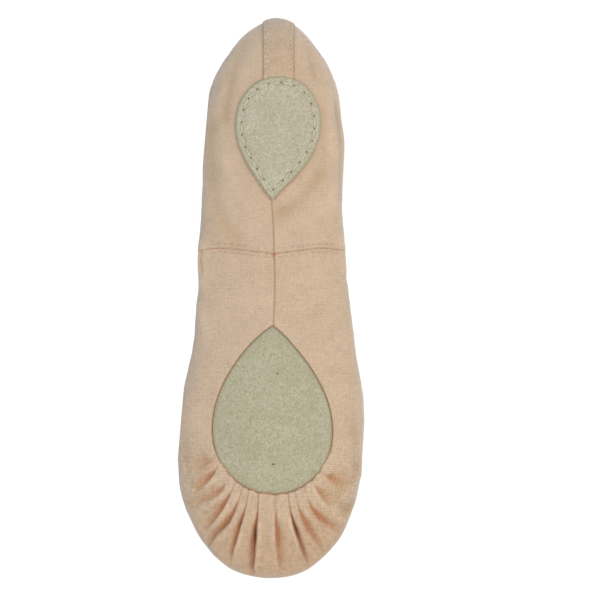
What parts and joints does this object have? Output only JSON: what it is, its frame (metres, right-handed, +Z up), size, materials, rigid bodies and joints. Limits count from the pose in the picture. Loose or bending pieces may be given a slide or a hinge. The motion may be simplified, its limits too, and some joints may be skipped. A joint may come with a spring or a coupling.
{
  "type": "ballet slipper",
  "caption": "Soft split-sole canvas ballet slipper lying on its side, with pleated toe, suede forefoot and heel patches, back strip, bound topline and insole.",
  "frame": {"origin": "middle of the bounding box's floor rectangle: the slipper lies on its left side, and its canvas touches the floor at z 0", "axes": "+X from heel to toe, +Z up from the floor, +Y from the sole to the instep, so the sole faces -Y; the slipper's own centre line rises about 4.9 degrees towards the toe"},
  "size_m": [0.2364, 0.055, 0.0777],
  "materials": {
    "canvas": "pink-peach cotton canvas, close plain weave, matt",
    "suede": "sand-coloured split suede, short nap",
    "heel_suede": "sand-coloured split suede, short nap, topstitched edge",
    "strip_canvas": "doubled strip of the same canvas, topstitched along both edges",
    "binding_tape": "folded cotton binding tape",
    "cotton_lining": "soft cotton twill sock"
  },
  "bodies": {
    "root": {"upper": "canvas", "forefoot_patch": "suede", "heel_patch": "heel_suede", "heel_strip": "strip_canvas", "topline_binding": "binding_tape", "insole": "cotton_lining"}
  },
  "joints": []
}
